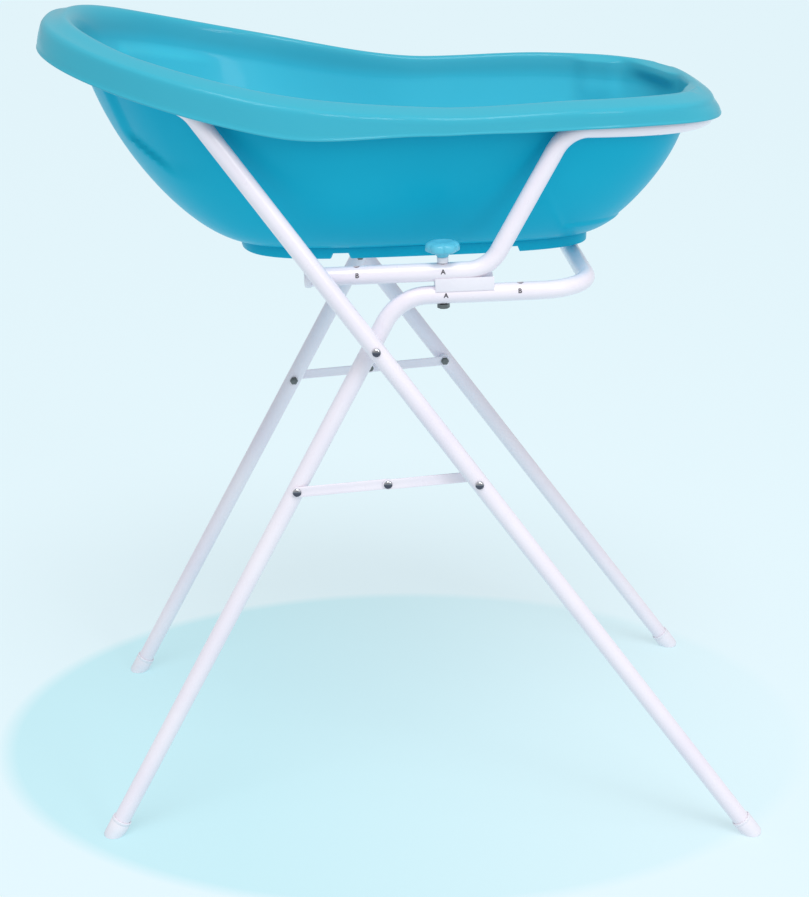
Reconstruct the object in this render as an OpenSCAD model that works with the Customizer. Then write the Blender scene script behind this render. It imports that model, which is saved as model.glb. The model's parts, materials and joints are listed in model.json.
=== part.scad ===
// Folding stand for a baby bath: two crossed tube frames with locking side links,
// an adjustable foot rest clamped by hand knobs, and the lift-off bath that hangs in them.
// X runs from the head end to the foot end, Y from the front side to the back, Z up.
// Millimetres. The origin is on the floor, under the middle of the whole object.

/* [Frames] */
// Outer diameter of the frame tubes
tube_d = 22; // [18:0.5:25]
// Wall of the frame tubes
tube_wall = 1.2; // [0.8:0.1:2]
// Height of the crossing pivots above the floor
pivot_z = 655; // [640:1:670]
// Lean of the head frame's legs from upright
head_leg_angle = 36.7; // [35:0.1:39]
// Lean of the foot frame's legs from upright
foot_leg_angle = 27.4; // [25:0.1:30]
// How far the head frame's legs lie inside the bath's side at the pivots
head_leg_in = 31; // [29:0.5:32]
// How far the foot frame's legs lie inside the head frame's legs
frame_step = 33; // [32:0.5:36]
// Sideways splay of the head frame's legs
head_splay = 2.1; // [1.8:0.1:2.4]
// Sideways splay of the foot frame's legs
foot_splay = 1.6; // [1.3:0.1:1.8]

/* [Head rail] */
// Bend radius where the head frame's legs turn in under the rim
head_knee_r = 40; // [36:1:60]
// How far the head rail's first bend lies past the knee
head_bend_reach = 90; // [84:1:94]
// Radius of the head rail's first bend
head_bend_r = 220; // [190:5:225]
// Radius of the head rail's corner bend
head_corner_r = 188; // [150:2:190]
// Half the spacing of the head rail's corner bends
head_corner_half = 98; // [92:1:100]

/* [Platform and foot rest] */
// Height of the platform's tube axis above the pivots
platform_rise = 54.5; // [50:0.5:58]
// Upward slope of the platform towards the foot end
platform_slope = 1.8; // [1:0.1:2.2]
// Distance from the pivots to the platform's crossbar
crossbar_x = 262; // [245:1:265]
// Bend radius at the top of the foot frame's legs
platform_bend_r = 60; // [45:1:70]
// Bend radius at the crossbar's corners
crossbar_bend_r = 64; // [45:1:68]
// Gap between the platform tubes and the foot rest tubes
tube_gap = 5.8; // [5:0.1:7]
// Distance from the pivots to the foot rest's open ends
rest_end_x = 75; // [66:1:80]
// Distance from the clamp holes marked A to the foot rest's elbow
rest_elbow_ahead = 53; // [48:1:58]
// Distance from the foot rest's knee under the rim to the bath's foot end
rest_knee_back = 214; // [210:1:218]
// Bend radius of the foot rest's elbows and knees
rest_bend_r = 45; // [38:1:48]
// Distance from the foot rest's first rim bend to the bath's foot end
rest_arm_back = 131; // [127:1:135]
// How far the foot rest's first rim bend lies inside the bath's side
rest_arm_in = 46; // [44:1:48]
// Radius of the foot rest's first rim bend
rest_arm_r = 260; // [220:5:265]
// How far the foot rest's corner bend lies inside the bath's side
rest_corner_in = 100; // [96:1:102]
// Radius of the foot rest's corner bend
rest_corner_r = 137; // [115:1:138]
// Distance from the pivots to the clamp holes marked A
hole_a_x = 82; // [78:1:86]
// Distance from the pivots to the foot rest's spare holes marked B
rest_hole_b_x = -20; // [-30:1:-10]
// Distance from the pivots to the platform's spare holes marked B
platform_hole_b_x = 174; // [165:1:185]

/* [Clamps] */
// Diameter of the clamp bolts
clamp_bolt_d = 8; // [7:0.5:8]
// Length of the spacer saddles
saddle_l = 70; // [60:1:74]
// Width of the spacer saddles
saddle_w = 21; // [16:0.5:22]
// Height of the spacer saddles
saddle_h = 16; // [13:0.5:18]
// How far a saddle reaches past its bolt towards the head end
saddle_lead = 10; // [8:0.5:14]
// Diameter of the hand knobs across their lobes
knob_d = 41; // [36:0.5:44]
// Height of the hand knobs
knob_h = 19; // [16:0.5:22]
// Height of the lobed head of a knob
knob_head_h = 12; // [9:0.5:13]
// Number of lobes on a knob
knob_lobes = 6; // [5:1:8]
// Diameter of the collars under the knobs
collar_d = 13.5; // [12:0.5:16]
// Height of the collars under the knobs
collar_h = 7; // [5:0.5:9]
// Width across the flats of the clamp nuts
clamp_nut_flats = 13; // [12.5:0.5:14]
// Height of the clamp nuts
clamp_nut_h = 5; // [4.5:0.5:8]

/* [Side links] */
// Distance from the pivots down the legs to the link bolts
link_drop = 208; // [202:1:214]
// Width of the link bars
link_w = 13; // [11:0.5:13.5]
// Thickness of the link bars
link_t = 2; // [1.5:0.1:2]
// Diameter of the pivot and link bolts
bolt_d = 6; // [5:0.5:6.5]
// Diameter of the domed bolt heads
head_d = 10.5; // [9.5:0.5:11]
// Height of the domed bolt heads on the legs
head_h = 3.2; // [2.6:0.1:3.6]
// Height of the low heads between the frames
low_head_h = 2.6; // [2:0.1:2.7]
// Width across the flats of the lock nuts
nut_flats = 10; // [9:0.5:10]
// Height of the lock nuts on the legs
nut_h = 5; // [4:0.1:6]
// Height of the thin nuts on the links
thin_nut_h = 2.8; // [2:0.1:2.8]
// Diameter of the plastic spacers
spacer_d = 17; // [14:0.5:18]

/* [Feet and plugs] */
// Outer diameter of the foot caps
foot_cap_d = 25.6; // [25:0.2:27]
// Length of a foot cap along its leg
foot_cap_l = 28; // [24:1:34]
// Height of the tube ends inside the foot caps
tube_end_z = 9; // [8.5:0.1:11]
// Outer diameter of the foot rest's end plugs
plug_d = 25; // [23:0.5:25.5]
// Length of a plug's cap outside the tube
plug_cap_l = 8; // [6:0.5:10]
// Length of a plug's stem inside the tube
plug_stem_l = 16; // [10:1:20]

/* [Bath outline] */
// Distance from the pivots to the bath's head end
bath_head = 402; // [401:0.5:404]
// Distance from the pivots to the bath's foot end
bath_foot = 439; // [438:0.5:441]
// Half the bath's width at the head end
head_width_half = 276; // [275:0.5:279]
// How far the bath's side at the foot end lies outside the foot frame's legs
foot_side_out = 16; // [15:0.5:18]
// Squareness of the head end's outline
head_round = 2.5; // [2.45:0.05:2.6]
// Squareness of the foot end's outline
foot_round = 3; // [2.95:0.05:3.1]

/* [Bath rim] */
// Height of the rim's crest at its lowest point above the foot ring's underside
bath_depth = 196; // [195:0.5:199]
// How far the rim rises at the head end
rim_head_rise = 94; // [93:0.5:98]
// How far the rim rises towards the foot end
rim_foot_rise = 6; // [5.5:0.5:8]
// How far the rim falls again at the very foot end
rim_end_drop = 8; // [6:0.5:8.5]
// Depth of the skirt below the crest at the foot end
skirt_foot = 28; // [22:0.5:32]
// Depth of the skirt below the crest at the head end
skirt_head = 42; // [36:0.5:46]
// Wall of the bath
bath_wall = 2.2; // [1.8:0.1:2.4]

/* [Bath bottom] */
// Gap between the platform's crossbar and the foot ring's underside
base_gap = 5.27; // [4.6:0.2:11.6]
// Height of the foot ring
base_ring_h = 10; // [8:0.5:14]
// Thickness of the foot ring
base_ring_t = 5; // [4:0.5:8]
// How far the floor's underside lies above the foot ring's underside
base_recess = 7; // [4:0.5:7.5]
// Distance from the pivots to the bottom's head end
base_head = 160; // [150:1:170]
// Distance from the pivots to the bottom's foot end
base_foot = 282; // [270:1:290]
// How far the bottom's side lies inside the bath's side at the head end
base_head_in = 139; // [137:1:149]
// How far the bottom's side lies inside the bath's side at the foot end
base_foot_in = 140; // [136:1:146]
// Width of the drain notches in the foot ring
notch_w = 15; // [10:0.5:20]

/* [Hidden] */

$fn = 64;
run_clear = 0.05;    // radial clearance of a turning or clamped bolt in its hole
face_clear = 0.3;    // gap between flat faces that pass or seat on a round tube
fit_clear = 0.1;     // radial clearance of caps and plugs on their tubes
tube_r = tube_d / 2;
bolt_r = bolt_d / 2;
clamp_bolt_r = clamp_bolt_d / 2;

// the whole model stands over the origin: its ends are the bath's head end and the head frame's feet
foot_reach = pivot_z * tan(head_leg_angle) + foot_cap_d / 2 / cos(head_leg_angle);
centre_x = (bath_head - foot_reach) / 2;

// half the spacing of the frames' legs at the pivots, and half the bath's width at the foot end
head_half = head_width_half - head_leg_in;
foot_half = head_half - frame_step;
foot_width_half = foot_half + foot_side_out;

white = [0.95, 0.94, 0.96];
chrome = [0.75, 0.75, 0.78];
dark_zinc = [0.2, 0.22, 0.22];
turquoise = [0.13, 0.62, 0.76];
pale_turquoise = [0.3, 0.72, 0.84];

// ---- legs: points along a frame's front leg, s millimetres down from the pivot ----
function leg_dir(angle, splay, side) = [side * sin(angle) * cos(splay), -sin(splay), -cos(angle) * cos(splay)];
head_leg_dir = leg_dir(head_leg_angle, head_splay, 1);
foot_leg_dir = leg_dir(foot_leg_angle, foot_splay, -1);
function head_leg(s) = [0, -head_half, pivot_z] + s * head_leg_dir;
function foot_leg(s) = [0, -foot_half, pivot_z] + s * foot_leg_dir;
function drop_to(z, dir) = (z - pivot_z) / dir[2];
head_leg_l = drop_to(tube_end_z, head_leg_dir);
foot_leg_l = drop_to(tube_end_z, foot_leg_dir);

// ---- heights: the bath hangs just clear of the platform's crossbar ----
slope_t = tan(platform_slope);
function platform_z(x) = pivot_z + platform_rise + slope_t * x;
base_z = platform_z(crossbar_x) + tube_r + base_gap;
rim_low_z = base_z + bath_depth;

// ---- rim of the bath ----
rim_low_x = 85;          // where the rim is lowest
rim_rise_power = 1.57;    // how the rim's rise gathers towards the head end
rim_foot_blend = 170;     // length of the small rise towards the foot end
rim_end_x = 310;          // where the rim starts to fall at the foot end
width_head_x = -145;      // the outline narrows from here
width_foot_x = 73;        // to here
skirt_head_x = -130;      // the skirt is full depth up to here
skirt_foot_x = 50;        // and shallow from here on
function smooth(t) = let (c = min(max(t, 0), 1)) c * c * (3 - 2 * c);
function mix(a, b, t) = a + (b - a) * t;
function rim_z(x) =
    rim_low_z
    + rim_head_rise * pow(max(0, rim_low_x - x) / (rim_low_x + bath_head), rim_rise_power)
    + rim_foot_rise * smooth((x - rim_low_x) / rim_foot_blend)
    - rim_end_drop * pow(max(0, x - rim_end_x) / (bath_foot - rim_end_x), 2);
function head_share(x) = smooth((skirt_foot_x - x) / (skirt_foot_x - skirt_head_x));
// rim profile: inset from the outline, depth below the crest at the foot and head ends, lean of the wall
rim_profile = [
    [0, 11, 11, -90],
    [4, 3.5, 4, -50],
    [13, 0, 0, 0],
    [23, 9, 12, 45],
    [29, 18, 22, 58],
    [34, 30, 36, 72]
];
rim_last = len(rim_profile) - 1;
function rim_point_in(i) = [rim_profile[i][0], rim_profile[i][1], rim_profile[i][2]];
function rim_point_out(i) =
    let (p = rim_profile[i], down = bath_wall * cos(p[3]))
    [p[0] - bath_wall * sin(p[3]), p[1] + down, p[2] + down];

// ---- head frame: the legs run up to a knee under the rim, and the head rail follows the outline ----
head_rail_inset = 17.6;   // how far the head rail's axis lies inside the outline at the head end
foot_rail_inset = 18.6;   // how far the foot rest's axis lies inside the outline at the foot end
rail_drop_head = 34.5;    // how far the head rail's axis lies below the crest
rail_drop_foot = 29.1;    // how far the foot rest's axis lies below the crest
head_corner_x = -bath_head + head_rail_inset;
rest_corner_x = bath_foot - foot_rail_inset;
head_rail_end_z = rim_z(head_corner_x) - rail_drop_head;
// the leg is cut off where it meets the head rail's plane
head_knee_near = 212;     // how far the knee lies from the pivots, nearly
head_knee_guess = drop_to(rim_z(-head_knee_near) - rail_drop_head, head_leg_dir);
head_knee = head_leg(head_knee_guess);
head_rail_slope = (head_rail_end_z - head_knee[2]) / (head_knee[0] - head_corner_x);
function head_rail_z(x) = head_knee[2] + head_rail_slope * (head_knee[0] - x);
head_bend_x = head_knee[0] - head_bend_reach;
head_bend_in = 80.5;      // how far the head rail's first bend lies inside the bath's side
head_bend_half = head_width_half - head_bend_in;
head_path_front = [
    head_leg(head_leg_l),
    head_knee,
    [head_bend_x, -head_bend_half, head_rail_z(head_bend_x)],
    [head_corner_x, -head_corner_half, head_rail_z(head_corner_x)]
];
head_radii_front = [head_knee_r, head_bend_r, head_corner_r];

// ---- platform: the foot frame's sloping top, and the foot rest parallel to it ----
rest_lift= (tube_d + tube_gap) / cos(platform_slope);
function rest_z(x) = platform_z(x) + rest_lift;
// the leg's line meets the platform's line here
foot_top_s = platform_rise / (foot_leg_dir[2] - slope_t * foot_leg_dir[0]);
foot_top = foot_leg(foot_top_s);
run_half = -foot_top[1];
foot_path_front = [
    foot_leg(foot_leg_l),
    foot_top,
    [crossbar_x, -run_half, platform_z(crossbar_x)]
];
foot_radii_front = [platform_bend_r, crossbar_bend_r];

rest_knee_in = 29;        // how far the foot rest's knee lies inside the bath's side
rest_knee_half = foot_width_half - rest_knee_in;
rest_arm_half = foot_width_half - rest_arm_in;
rest_corner_half = foot_width_half - rest_corner_in;
rest_knee_x = bath_foot - rest_knee_back;
rest_elbow_x = hole_a_x + rest_elbow_ahead;
rest_arm_x = bath_foot - rest_arm_back;
rest_knee_z = rim_z(rest_knee_x) - rail_drop_foot;
rest_corner_z = rim_z(rest_corner_x) - rail_drop_foot;
rest_arm_z = mix(rest_knee_z, rest_corner_z, (rest_arm_x - rest_knee_x) / (rest_corner_x - rest_knee_x));
rest_path_front = [
    [-rest_end_x, -run_half, rest_z(-rest_end_x)],
    [rest_elbow_x, -run_half, rest_z(rest_elbow_x)],
    [rest_knee_x, -rest_knee_half, rest_knee_z],
    [rest_arm_x, -rest_arm_half, rest_arm_z],
    [rest_corner_x, -rest_corner_half, rest_corner_z]
];
rest_radii_front = [rest_bend_r, rest_bend_r, rest_arm_r, rest_corner_r];

// ---- side links: straight between the link bolts when the stand is open ----
head_link_pin = foot_leg(link_drop);
foot_link_pin = head_leg(link_drop);
link_span = norm([foot_link_pin[0] - head_link_pin[0], foot_link_pin[2] - head_link_pin[2]]);
head_link_share = 0.505;  // the middle bolt sits a little past half way
head_link_l = link_span * head_link_share;
foot_link_l = link_span - head_link_l;
link_tilt = atan2(foot_link_pin[2] - head_link_pin[2], foot_link_pin[0] - head_link_pin[0]);
middle_pin = [
    mix(head_link_pin[0], foot_link_pin[0], head_link_share), 0,
    mix(head_link_pin[2], foot_link_pin[2], head_link_share)
];
// distances from the middle plane, going outwards through the stack on one side
seat_r = spacer_d / 2;    // flats near a leg stay clear of its splayed surface over this radius
head_in_y = head_half - tube_r - seat_r * sin(head_splay) - face_clear;
head_out_y = head_half + tube_r + seat_r * sin(head_splay) + face_clear / 2;
foot_in_y = foot_half - tube_r - seat_r * sin(foot_splay) - face_clear / 2;
foot_out_y = foot_half + tube_r + seat_r * sin(foot_splay) + face_clear;
link_y = -head_link_pin[1] - foot_half;              // how far the foot frame's leg has splayed there
head_link_y = foot_out_y + link_y;                   // inner face of the head links
foot_link_y = head_link_y + link_t + 0.4;            // inner face of the foot links
foot_spacer_y = foot_link_y + link_t + face_clear;
foot_spacer_t = -foot_link_pin[1] - tube_r - seat_r * sin(head_splay) - face_clear - foot_spacer_y;

// ---- helpers ----
function unit(v) = v / norm(v);
function mirror_y(p) = [p[0], -p[1], p[2]];
function reversed(list) = [for (i = [len(list) - 1 : -1 : 0]) list[i]];
function both_ends(path) = concat(path, [for (p = reversed(path)) mirror_y(p)]);
function turn_at(p, i) = acos(unit(p[i] - p[i - 1]) * unit(p[i + 1] - p[i]));
function cut_at(p, r, i) = i < 1 || i > len(p) - 2 ? 0 : r[i - 1] * tan(turn_at(p, i) / 2);

module in_place() {
    translate([centre_x, 0, 0]) children();
}

module both_sides() {
    children();
    mirror([0, 1, 0]) children();
}

// columns are the directions that the local X, Y and Z axes take, then the place
module oriented(x, y, z, at) {
    multmatrix([
        [x[0], y[0], z[0], at[0]],
        [x[1], y[1], z[1], at[1]],
        [x[2], y[2], z[2], at[2]],
        [0, 0, 0, 1]
    ]) children();
}

// local Z along dir, local Y as near the world's Y as it can be
module along(at, dir) {
    z = unit(dir);
    side = abs(z[1]) > 0.9 ? [0, 0, 1] : [0, 1, 0];
    x = unit(cross(side, z));
    oriented(x, cross(z, x), z, at) children();
}

// bent stretches draw down by bend_thin and reach bend_lap into the straight ones
bend_thin = 0.1;
bend_lap = 1;
module tube_section(thin = 0) {
    difference() {
        circle(tube_r - thin);
        circle(tube_r - tube_wall + thin);
    }
}

module tube_straight(from, to) {
    along(from, to - from) linear_extrude(norm(to - from)) tube_section();
}

module tube_bend(p, r, i) {
    u = unit(p[i] - p[i - 1]);
    v = unit(p[i + 1] - p[i]);
    inward = unit(v - (u * v) * u);
    start = p[i] - u * cut_at(p, r, i);
    lap = bend_lap / r[i - 1] * 180 / PI;
    oriented(-inward, u, cross(-inward, u), start + inward * r[i - 1])
        rotate(-lap) rotate_extrude(angle = turn_at(p, i) + 2 * lap)
            translate([r[i - 1], 0]) tube_section(bend_thin);
}

module bent_tube(p, r) {
    for (i = [0 : len(p) - 2]) {
        u = unit(p[i + 1] - p[i]);
        tube_straight(p[i] + u * cut_at(p, r, i), p[i + 1] - u * cut_at(p, r, i + 1));
    }
    for (i = [1 : len(p) - 2]) tube_bend(p, r, i);
}

// a rod along -Y on the front side, between two distances from the middle plane
module rod_y(x, z, y_in, y_out, r) {
    translate([x, -y_in, z]) rotate([90, 0, 0]) cylinder(r = r, h = y_out - y_in);
}

module nut_y(x, z, y_in, h, flats, bore_r) {
    translate([x, -y_in, z]) rotate([90, 0, 0]) difference() {
        cylinder(d = flats / cos(30), h = h, $fn = 6);
        translate([0, 0, -1]) cylinder(r = bore_r, h = h + 2);
    }
}

// a domed head whose flat side is y_in from the middle plane
module dome_y(x, z, y_in, h) {
    ball = (h * h + head_d * head_d / 4) / (2 * h);
    translate([x, -y_in, z]) rotate([90, 0, 0]) intersection() {
        translate([0, 0, h - ball]) sphere(ball);
        cylinder(r = head_d, h = h + 1);
    }
}

// local frame of a clamp: origin on the platform tube's axis at the bolt, Z along the bolt
module at_clamp(side) {
    translate([hole_a_x, side * run_half, platform_z(hole_a_x)])
        rotate([0, -platform_slope, 0]) children();
}

module clamp_hole(x) {
    translate([x, 0, platform_z(x)]) rotate([0, -platform_slope, 0])
        translate([0, 0, -tube_d]) cylinder(r = clamp_bolt_r + run_clear, h = 4 * tube_d);
}

// ---- frames ----
module head_frame() {
    color(white) in_place() difference() {
        bent_tube(both_ends(head_path_front), concat(head_radii_front, reversed(head_radii_front)));
        both_sides() {
            rod_y(0, pivot_z, foot_half, head_half + tube_d, bolt_r + run_clear);
            rod_y(foot_link_pin[0], foot_link_pin[2], foot_half, head_half + 2 * tube_d, bolt_r + run_clear);
        }
    }
}

module foot_frame() {
    color(white) in_place() difference() {
        bent_tube(both_ends(foot_path_front), concat(foot_radii_front, reversed(foot_radii_front)));
        both_sides() {
            rod_y(0, pivot_z, foot_half - tube_d, head_half, bolt_r + run_clear);
            rod_y(head_link_pin[0], head_link_pin[2], foot_half - tube_d, head_half, bolt_r + run_clear);
            translate([0, -run_half, 0]) {
                clamp_hole(hole_a_x);
                clamp_hole(platform_hole_b_x);
            }
        }
    }
}

module foot_rest() {
    color(white) in_place() difference() {
        bent_tube(both_ends(rest_path_front), concat(rest_radii_front, reversed(rest_radii_front)));
        both_sides() translate([0, -run_half, 0]) {
            clamp_hole(hole_a_x);
            clamp_hole(rest_hole_b_x);
        }
    }
}

// ---- clamps ----
module saddle(side) {
    color(white) in_place() at_clamp(side) difference() {
        translate([-saddle_lead, -saddle_w / 2, (tube_d + tube_gap - saddle_h) / 2])
            cube([saddle_l, saddle_w, saddle_h]);
        for (z = [0, tube_d + tube_gap]) {
            translate([-saddle_lead - 1, 0, z]) rotate([0, 90, 0])
                cylinder(r = tube_r + fit_clear, h = saddle_l + 2);
        }
        cylinder(r = clamp_bolt_r + run_clear, h = 2 * tube_d);
    }
}

clamp_top = tube_d + tube_gap + tube_r;
collar_z = clamp_top + face_clear;
knob_z = collar_z + collar_h + face_clear / 2;

module collar(side) {
    color(white) in_place() at_clamp(side) translate([0, 0, collar_z]) difference() {
        cylinder(d = collar_d, h = collar_h);
        translate([0, 0, -1]) cylinder(r = clamp_bolt_r + run_clear, h = collar_h + 2);
    }
}

lobe_r = knob_d / 7.5;
thread_share = 0.6;       // how much of a knob's height its bolt fills
module knob(side) {
    stem_h = knob_h - knob_head_h;
    crown = knob_d * 1.1;
    color(pale_turquoise) in_place() at_clamp(side) translate([0, 0, knob_z]) difference() {
        union() {
            cylinder(d1 = collar_d, d2 = knob_d * 0.66, h = stem_h);
            intersection() {
                translate([0, 0, stem_h]) union() {
                    cylinder(r = knob_d / 2 - lobe_r, h = knob_head_h);
                    for (i = [0 : knob_lobes - 1]) {
                        rotate(i * 360 / knob_lobes) translate([knob_d / 2 - lobe_r, 0, 0])
                            cylinder(r = lobe_r, h = knob_head_h);
                    }
                }
                translate([0, 0, knob_h - crown]) sphere(crown);
            }
        }
        translate([0, 0, -1]) cylinder(r = clamp_bolt_r + run_clear, h = 1 + knob_h * thread_share + face_clear);
    }
}

clamp_bolt_tail = 1;      // how far the bolt reaches below its nut
module clamp_bolt(side) {
    bottom = -tube_r - clamp_nut_h - clamp_bolt_tail;
    color(dark_zinc) in_place() at_clamp(side) translate([0, 0, bottom])
        cylinder(r = clamp_bolt_r, h = knob_z + knob_h * thread_share - bottom);
}

module clamp_nuts() {
    color(dark_zinc) in_place() for (side = [-1, 1]) {
        at_clamp(side) translate([0, 0, -tube_r - fit_clear - clamp_nut_h]) difference() {
            cylinder(d = clamp_nut_flats / cos(30), h = clamp_nut_h, $fn = 6);
            translate([0, 0, -1]) cylinder(r = clamp_bolt_r + run_clear, h = clamp_nut_h + 2);
        }
    }
}

// ---- crossing pivots ----
module pivot_bolts() {
    color(chrome) in_place() both_sides() {
        dome_y(0, pivot_z, head_out_y, head_h);
        rod_y(0, pivot_z, foot_in_y - nut_h - 1.5, head_out_y, bolt_r);
    }
}

module pivot_nuts() {
    color(dark_zinc) in_place() both_sides()
        nut_y(0, pivot_z, foot_in_y - nut_h, nut_h, nut_flats, bolt_r + run_clear);
}

module pivot_spacers() {
    color(white) in_place() both_sides() difference() {
        rod_y(0, pivot_z, foot_out_y, head_in_y, spacer_d / 2);
        rod_y(0, pivot_z, foot_out_y - 1, head_in_y + 1, bolt_r + run_clear);
    }
}

// ---- side links ----
// a bar with round ends along local X, from one pin to the next
module link_bar(l) {
    difference() {
        union() {
            translate([0, -link_w / 2, 0]) cube([l, link_w, link_t]);
            for (x = [0, l]) translate([x, 0, 0]) cylinder(d = link_w, h = link_t);
        }
        for (x = [0, l]) translate([x, 0, -1]) cylinder(r = bolt_r + run_clear, h = link_t + 2);
    }
}

module head_link() {
    translate([head_link_pin[0], -head_link_y, head_link_pin[2]])
        rotate([0, -link_tilt, 0]) rotate([90, 0, 0]) link_bar(head_link_l);
}

module foot_link() {
    translate([foot_link_pin[0], -foot_link_y, foot_link_pin[2]])
        rotate([0, 180 - link_tilt, 0]) rotate([90, 0, 0]) link_bar(foot_link_l);
}

module head_link_front() {
    color(white) in_place() head_link();
}

module head_link_back() {
    color(white) in_place() mirror([0, 1, 0]) head_link();
}

module foot_link_front() {
    color(white) in_place() foot_link();
}

module foot_link_back() {
    color(white) in_place() mirror([0, 1, 0]) foot_link();
}

module head_link_bolts() {
    x = head_link_pin[0];
    z = head_link_pin[2];
    head_y = head_link_y + link_t + face_clear;
    color(chrome) in_place() both_sides() {
        dome_y(x, z, head_y, low_head_h);
        rod_y(x, z, foot_in_y + link_y - nut_h - 1.5, head_y, bolt_r);
    }
}

module head_link_nuts() {
    color(dark_zinc) in_place() both_sides()
        nut_y(head_link_pin[0], head_link_pin[2], foot_in_y + link_y - nut_h, nut_h, nut_flats, bolt_r + run_clear);
}

foot_splay_y = -foot_link_pin[1] - head_half;        // how far the head frame's leg has splayed there
module foot_link_bolts() {
    x = foot_link_pin[0];
    z = foot_link_pin[2];
    color(chrome) in_place() both_sides() {
        dome_y(x, z, head_out_y + foot_splay_y, head_h);
        rod_y(x, z, foot_link_y - face_clear - thin_nut_h, head_out_y + foot_splay_y, bolt_r);
    }
}

module foot_link_nuts() {
    color(dark_zinc) in_place() both_sides()
        nut_y(foot_link_pin[0], foot_link_pin[2], foot_link_y - face_clear - thin_nut_h, thin_nut_h,
            nut_flats, bolt_r + run_clear);
}

module foot_link_spacers() {
    x = foot_link_pin[0];
    z = foot_link_pin[2];
    color(white) in_place() both_sides() difference() {
        rod_y(x, z, foot_spacer_y, foot_spacer_y + foot_spacer_t, spacer_d / 2);
        rod_y(x, z, foot_spacer_y - 1, foot_spacer_y + foot_spacer_t + 1, bolt_r + run_clear);
    }
}

// the middle bolt is split at the plane between the two links, so that each link carries its half
module middle_bolts() {
    head_y = foot_link_y + link_t + fit_clear;
    color(chrome) in_place() both_sides() {
        dome_y(middle_pin[0], middle_pin[2], head_y, low_head_h);
        rod_y(middle_pin[0], middle_pin[2], foot_link_y - fit_clear, head_y, bolt_r);
    }
}

module middle_nuts() {
    nut_y_in = head_link_y - fit_clear - thin_nut_h;
    color(dark_zinc) in_place() both_sides() {
        nut_y(middle_pin[0], middle_pin[2], nut_y_in, thin_nut_h, nut_flats, bolt_r - run_clear);
        rod_y(middle_pin[0], middle_pin[2], nut_y_in, head_link_y + link_t + fit_clear, bolt_r);
    }
}

// ---- feet and plugs ----
module foot_cap(leg_end, dir) {
    cap_r = foot_cap_d / 2;
    room = 4 * foot_cap_l;
    intersection() {
        difference() {
            along(leg_end - (foot_cap_l - cap_r) * dir, dir) cylinder(r = cap_r, h = 2 * foot_cap_l);
            along(leg_end - 2 * foot_cap_l * dir, dir) cylinder(r = tube_r + fit_clear, h = 2 * foot_cap_l + fit_clear);
        }
        translate([leg_end[0] - room / 2, leg_end[1] - room / 2, 0]) cube(room);
    }
}

module head_frame_feet() {
    color(white) in_place() both_sides() foot_cap(head_leg(head_leg_l), head_leg_dir);
}

module foot_frame_feet() {
    color(white) in_place() both_sides() foot_cap(foot_leg(foot_leg_l), foot_leg_dir);
}

module foot_rest_plugs() {
    run_dir = [cos(platform_slope), 0, sin(platform_slope)];
    color(white) in_place() both_sides() {
        along(rest_path_front[0] - (plug_cap_l + fit_clear) * run_dir, run_dir) cylinder(d = plug_d, h = plug_cap_l);
        along(rest_path_front[0] - fit_clear * 2 * run_dir, run_dir)
            cylinder(r = tube_r - tube_wall - fit_clear, h = plug_stem_l);
    }
}

// ---- bath ----
ring_n = 88;              // points round each ring
bath_mid = (bath_foot - bath_head) / 2;
bath_half_l = (bath_foot + bath_head) / 2;
base_mid = (base_foot - base_head) / 2;
base_half_l = (base_foot + base_head) / 2;
base_round = 3.6;         // squareness of the bottom's outline
base_head_half = head_width_half - base_head_in;
base_foot_half = foot_width_half - base_foot_in;
bowl_flat = 0.4;          // share of the bowl's profile that is a straight slope
bowl_steps = [0, 0.06, 0.14, 0.24, 0.35, 0.47, 0.6, 0.72, 0.83, 0.92, 0.98, 1];
base_top_z = base_z + base_ring_h;
floor_z = base_z + base_recess;

function ring_angle(k) = 360 * k / ring_n;
// a point at angle a of a unit outline between a circle (n = 2) and a square (n large)
function squarish(a, n) = [cos(a), sin(a)] * pow(pow(abs(cos(a)), n) + pow(abs(sin(a)), n), -1 / n);
// a point of the bath's outline, drawn in by inset
function outline(a, inset) =
    let (
        q = squarish(a, cos(a) < 0 ? head_round : foot_round),
        x = bath_mid + (bath_half_l - inset) * q[0],
        w = mix(head_width_half, foot_width_half, smooth((x - width_head_x) / (width_foot_x - width_head_x)))
    )
    [x, (w - inset) * q[1]];
function base_outline(a, inset) =
    let (
        q = squarish(a, base_round),
        x = base_mid + (base_half_l - inset) * q[0],
        w = mix(base_head_half, base_foot_half, (x + base_head) / (2 * base_half_l))
    )
    [x, (w - inset) * q[1]];
// a ring of the rim: p is inset, depth at the foot end, depth at the head end
function rim_ring(p) = [
    for (k = [0 : ring_n - 1])
        let (q = outline(ring_angle(k), p[0]))
        [q[0], q[1], rim_z(q[0]) - mix(p[1], p[2], head_share(q[0]))]
];
function skirt_ring(inset) = rim_ring([inset, skirt_foot, skirt_head]);
function bowl_in(t) = bowl_flat * t + (1 - bowl_flat) * (1 - sqrt(1 - t * t));
// a ring of the bowl, from the rim ring given by p down to the bottom's outline
function bowl_ring(p, t, base_inset, z_end) = [
    for (k = [0 : ring_n - 1])
        let (
            top = outline(ring_angle(k), p[0]),
            low = base_outline(ring_angle(k), base_inset),
            z_top = rim_z(top[0]) - mix(p[1], p[2], head_share(top[0])),
            q = mix(top, low, bowl_in(t))
        )
        [q[0], q[1], mix(z_top, z_end, t)]
];
function base_ring(inset, z) = [
    for (k = [0 : ring_n - 1])
        let (q = base_outline(ring_angle(k), inset))
        [q[0], q[1], z]
];

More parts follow.
